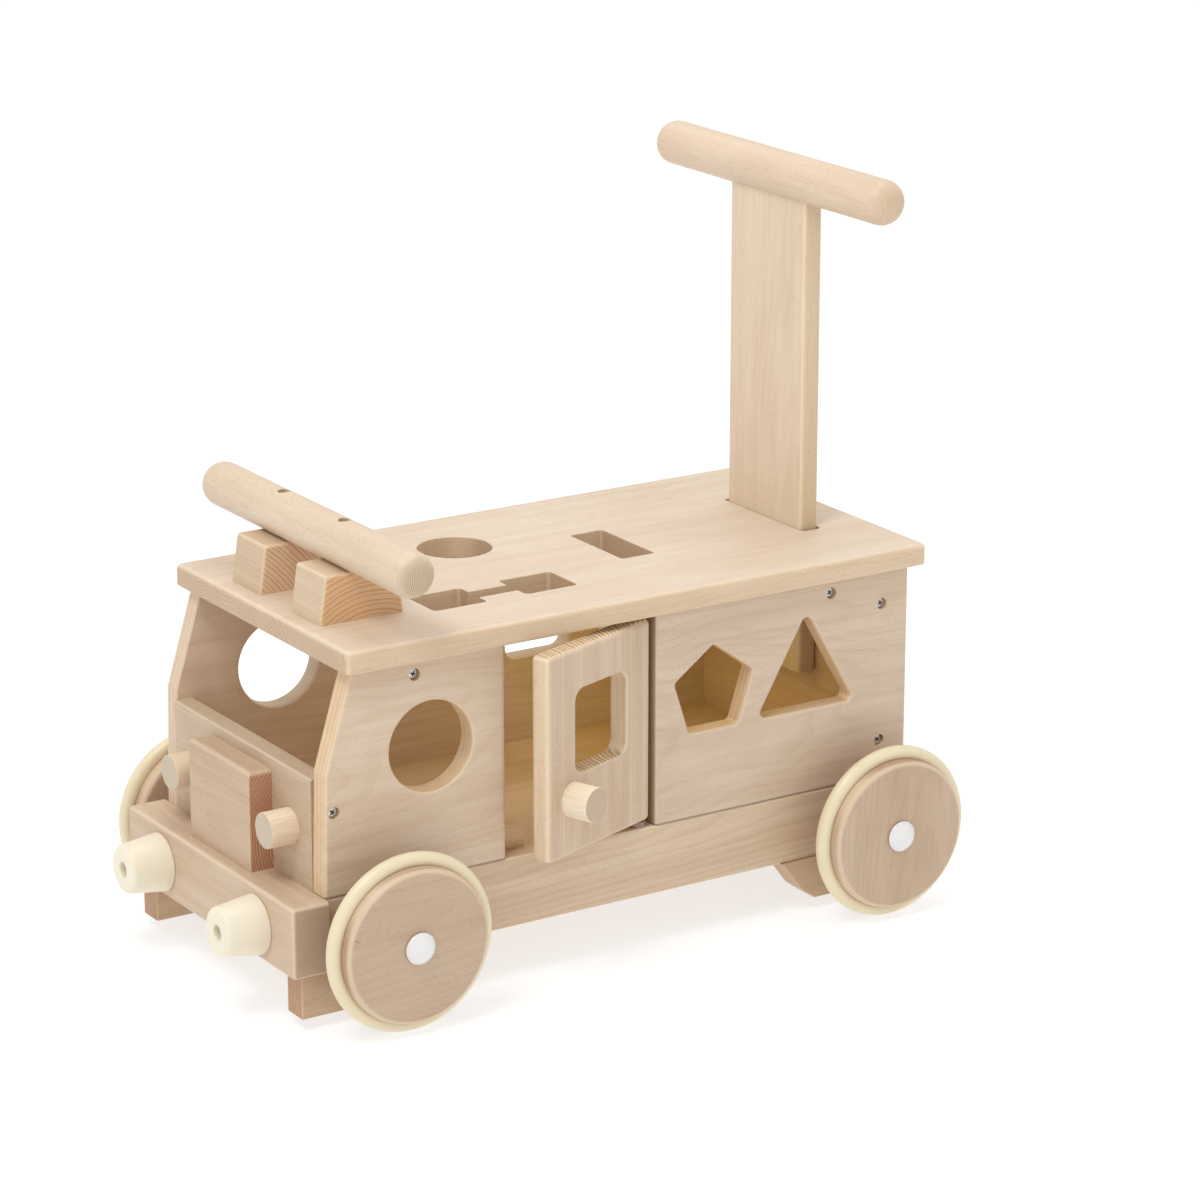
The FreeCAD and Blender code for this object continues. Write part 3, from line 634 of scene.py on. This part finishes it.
def screw_setter(head, material):
    """Sets a screw at each point, its head along the point's way, turned at random."""
    tree = bpy.data.node_groups.new("screws", "GeometryNodeTree")
    tree.interface.new_socket("Geometry", in_out="INPUT", socket_type="NodeSocketGeometry")
    seed = tree.interface.new_socket("Turn Seed", in_out="INPUT", socket_type="NodeSocketInt")
    size = tree.interface.new_socket("Size", in_out="INPUT", socket_type="NodeSocketFloat")
    seed.default_value, size.default_value = 5, 1.0
    tree.interface.new_socket("Geometry", in_out="OUTPUT", socket_type="NodeSocketGeometry")

    def add(kind, **settings):
        made = tree.nodes.new(kind)
        for key, setting in settings.items():
            setattr(made, key, setting)
        return made

    source, result = add("NodeGroupInput"), add("NodeGroupOutput")
    way = add("GeometryNodeInputNamedAttribute", data_type="FLOAT_VECTOR")
    way.inputs["Name"].default_value = "way"
    align = add("FunctionNodeAlignRotationToVector", axis="Z")
    spin = add("FunctionNodeRandomValue", data_type="FLOAT")
    spin.inputs[3].default_value = 6.283
    angle = add("FunctionNodeAxisAngleToRotation")
    angle.inputs["Axis"].default_value = (0, 0, 1)
    rotate = add("FunctionNodeRotateRotation", rotation_space="LOCAL")
    model = add("GeometryNodeObjectInfo")
    model.inputs["Object"].default_value = head
    put = add("GeometryNodeInstanceOnPoints")
    real = add("GeometryNodeRealizeInstances")
    coat = add("GeometryNodeSetMaterial")
    coat.inputs["Material"].default_value = material
    join = tree.links.new
    join(way.outputs["Attribute"], align.inputs["Vector"])
    join(source.outputs["Turn Seed"], spin.inputs["Seed"])
    join(spin.outputs[1], angle.inputs["Angle"])
    join(align.outputs["Rotation"], rotate.inputs["Rotation"])
    join(angle.outputs["Rotation"], rotate.inputs["Rotate By"])
    join(source.outputs["Geometry"], put.inputs["Points"])
    join(model.outputs["Geometry"], put.inputs["Instance"])
    join(rotate.outputs["Rotation"], put.inputs["Rotation"])
    join(source.outputs["Size"], put.inputs["Scale"])
    join(put.outputs["Instances"], real.inputs["Geometry"])
    join(real.outputs["Geometry"], coat.inputs["Geometry"])
    join(coat.outputs["Geometry"], result.inputs["Geometry"])
    return tree, seed.identifier, size.identifier


head_model = screw_head(HEAD_R)
bpy.context.scene.collection.objects.link(head_model)
setter, seed_key, size_key = screw_setter(head_model, steel)


def set_screws(name, node, places, way, size, seed):
    """The screws of one CAD group. places are the middles of their heads' rims, in mm."""
    points = bpy.data.meshes.new(name)
    points.from_pydata([Vector(place) * MM for place in places], [], [])
    ways = points.attributes.new("way", "FLOAT_VECTOR", "POINT")
    for item in ways.data:
        item.vector = way
    holder = bpy.data.objects.new(name + "_points", points)
    bpy.context.scene.collection.objects.link(holder)
    modifier = holder.modifiers.new("screws", "NODES")
    modifier.node_group = setter
    modifier[seed_key] = seed
    modifier[size_key] = size
    ready = holder.evaluated_get(bpy.context.evaluated_depsgraph_get())
    mesh = bpy.data.meshes.new_from_object(ready)
    mesh.name = name
    bpy.data.objects.remove(holder)
    finish_mesh(name, mesh, steel, "chassis", node, sharp=40.0)


def screw_places(node):
    """The lowest and highest corners of each separate screw of a CAD group, in mm."""
    work = bmesh.new()
    work.from_mesh(NODES[node].data)
    bmesh.ops.remove_doubles(work, verts=work.verts[:], dist=1e-6)
    left = set(work.verts)
    places = []
    while left:
        stack = [left.pop()]
        island = []
        while stack:
            vert = stack.pop()
            island.append(vert.co.copy())
            for edge in vert.link_edges:
                other = edge.other_vert(vert)
                if other in left:
                    left.remove(other)
                    stack.append(other)
        low = Vector([min(c[i] for c in island) for i in range(3)])
        high = Vector([max(c[i] for c in island) for i in range(3)])
        places.append((low / MM, high / MM))
    work.free()
    return sorted(places, key=lambda pair: tuple(pair[0]))


# CAD group, the way its heads face, their size, and the seed that turns their crosses
SCREW_GROUPS = (
    ("side_screws_left", (1, 0, 0), 1.0, 3),
    ("side_screws_right", (-1, 0, 0), 1.0, 8),
    ("post_screws", (0, 1, 0), 1.0, 12),
    ("front_handle_screws", (0, 0, 1), 1.0, 16),
    ("buffer_screws", (0, -1, 0), 1.0, 21),
)
for node, way, size, seed in SCREW_GROUPS:
    rims = []
    way_out = Vector(way)
    for low, high in screw_places(node):
        middle = (low + high) / 2
        for i in range(3):
            if way_out[i]:
                middle[i] = high[i] if way_out[i] > 0 else low[i]
        rims.append(middle - way_out * (CROWN * HEAD_R * size))
    set_screws(node + "_cross_head", node, rims, way, size, seed)
bpy.data.objects.remove(head_model)

dress("door_washer", nylon)
dress("axle_spacers", white)
for node in ("axle_front", "axle_rear", "door_pins"):
    dress(node, steel)


# ------------------------------------------------------------------ room, light and camera
# places in metres, the lens in mm, its framing as parts of the picture's width
FLOOR_REACH = 30.0
FLOOR_Z = -0.0002
FLOOR_GLOW = 0.66
SKY = 0.78
VIEW_TURN = math.radians(57.43)
VIEW_LIFT = math.radians(17.10)
VIEW_FROM = (2.2807, -1.3973, 1.0473)
LENS = 127.55
FRAMING = (0.0054, -0.0097)


def make_floor():
    mesh = bpy.data.meshes.new("floor")
    corners = [(-1, -1), (1, -1), (1, 1), (-1, 1)]
    mesh.from_pydata([(x * FLOOR_REACH, y * FLOOR_REACH, FLOOR_Z) for x, y in corners],
                     [], [(0, 1, 2, 3)])
    floor = bpy.data.objects.new("floor", mesh)
    bpy.context.scene.collection.objects.link(floor)
    p = Paint("pale_floor")
    p.set(colour=(0.42, 0.42, 0.42, 1.0), rough=0.8, specular=0.1)
    p.shader.inputs["Emission Color"].default_value = (1.0, 1.0, 1.0, 1.0)
    p.shader.inputs["Emission Strength"].default_value = FLOOR_GLOW
    mesh.materials.append(p.material)
    floor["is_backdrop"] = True


def soft_light(name, place, aim, size, power, colour):
    """A round lamp, size across in metres, power in watts."""
    lamp = bpy.data.lights.new(name, "AREA")
    lamp.shape = "DISK"
    lamp.size = size
    lamp.energy = power
    lamp.color = colour
    holder = bpy.data.objects.new(name, lamp)
    bpy.context.scene.collection.objects.link(holder)
    holder.location = place
    holder.visible_camera = False
    way = Vector(aim) - Vector(place)
    holder.rotation_euler = way.to_track_quat("-Z", "Y").to_euler()


def make_camera():
    back = Vector((math.sin(VIEW_TURN) * math.cos(VIEW_LIFT),
                   -math.cos(VIEW_TURN) * math.cos(VIEW_LIFT), math.sin(VIEW_LIFT)))
    lens = bpy.data.cameras.new("camera")
    lens.sensor_width = 36.0
    lens.lens = LENS
    lens.shift_x, lens.shift_y = FRAMING
    camera = bpy.data.objects.new("camera", lens)
    bpy.context.scene.collection.objects.link(camera)
    camera.location = VIEW_FROM
    camera.rotation_euler = (-back).to_track_quat("-Z", "Y").to_euler()
    bpy.context.scene.camera = camera


def make_sky():
    sky = bpy.data.worlds.new("sky")
    sky.use_nodes = True
    glow = sky.node_tree.nodes["Background"]
    glow.inputs["Color"].default_value = (1.0, 1.0, 1.0, 1.0)
    glow.inputs["Strength"].default_value = SKY
    bpy.context.scene.world = sky


make_floor()
soft_light("key", (0.6, -1.2, 2.4), (0, 0, 0.2), 1.0, 22.0, (1.0, 0.99, 0.97))
soft_light("top", (-0.3, 0.5, 2.6), (0, 0, 0.2), 1.6, 14.0, (1.0, 1.0, 1.0))
for name, y, power, warmth in (("cabin_front", -0.06, 0.030, (1.0, 0.88, 0.66)),
                               ("cabin_rear", 0.10, 0.056, (1.0, 0.76, 0.12))):
    soft_light(name, (0, y, 0.2085), (0, y, 0), 0.12, power, warmth)
make_sky()
bpy.context.scene.view_settings.view_transform = "Standard"
make_camera()

# ------------------------------------------------------------------ sizes, then done
low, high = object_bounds()
